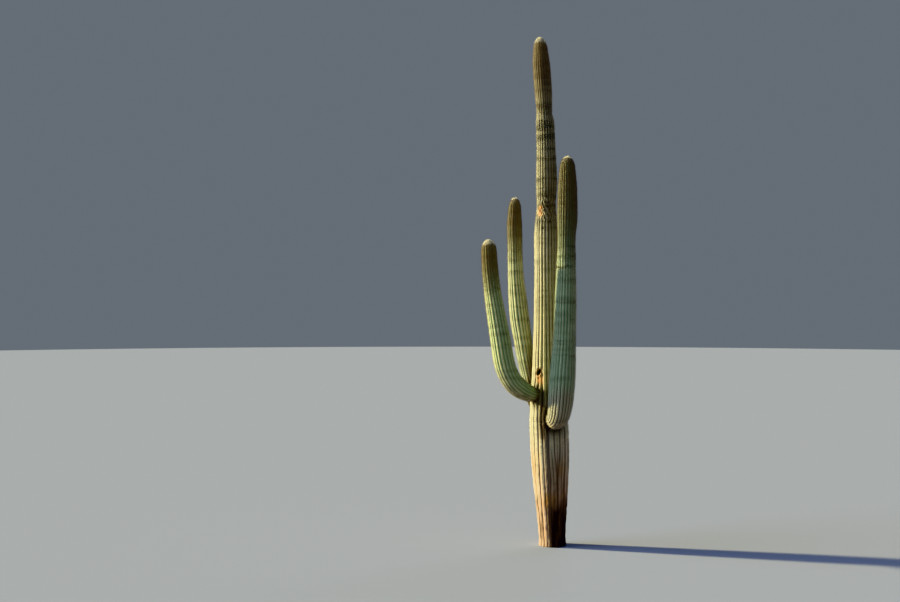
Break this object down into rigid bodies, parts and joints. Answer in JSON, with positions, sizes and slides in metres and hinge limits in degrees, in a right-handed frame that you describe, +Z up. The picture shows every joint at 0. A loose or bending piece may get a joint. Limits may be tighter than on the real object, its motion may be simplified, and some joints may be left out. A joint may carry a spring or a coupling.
{
  "type": "saguaro cactus",
  "caption": "Tall ribbed saguaro cactus: one leaning column with a swollen lower half, arms that turn up beside it, and a nest hole.",
  "frame": {"origin": "middle of the flat cut under the trunk, at ground level", "axes": "+Z straight up, -Y towards the viewer, +X to the viewer's right"},
  "size_m": [1.537, 1.292, 8.3996],
  "materials": {
    "trunk_skin": "waxy ribbed skin, yellow-green above and corky brown towards the ground",
    "left_arm_skin": "waxy ribbed skin, green with a brown tip",
    "back_arm_skin": "waxy ribbed skin, yellow-green with a brown tip",
    "right_arm_skin": "waxy ribbed skin, blue-green with a brown tip",
    "spines": "dry spines, straw at the tips and grey lower down"
  },
  "bodies": {
    "root": {"trunk": "trunk_skin", "left_arm_elbow": "left_arm_skin", "left_arm_upright": "left_arm_skin", "back_arm_elbow": "back_arm_skin", "back_arm_upright": "back_arm_skin", "right_arm_elbow": "right_arm_skin", "right_arm_upright": "right_arm_skin"}
  },
  "joints": []
}
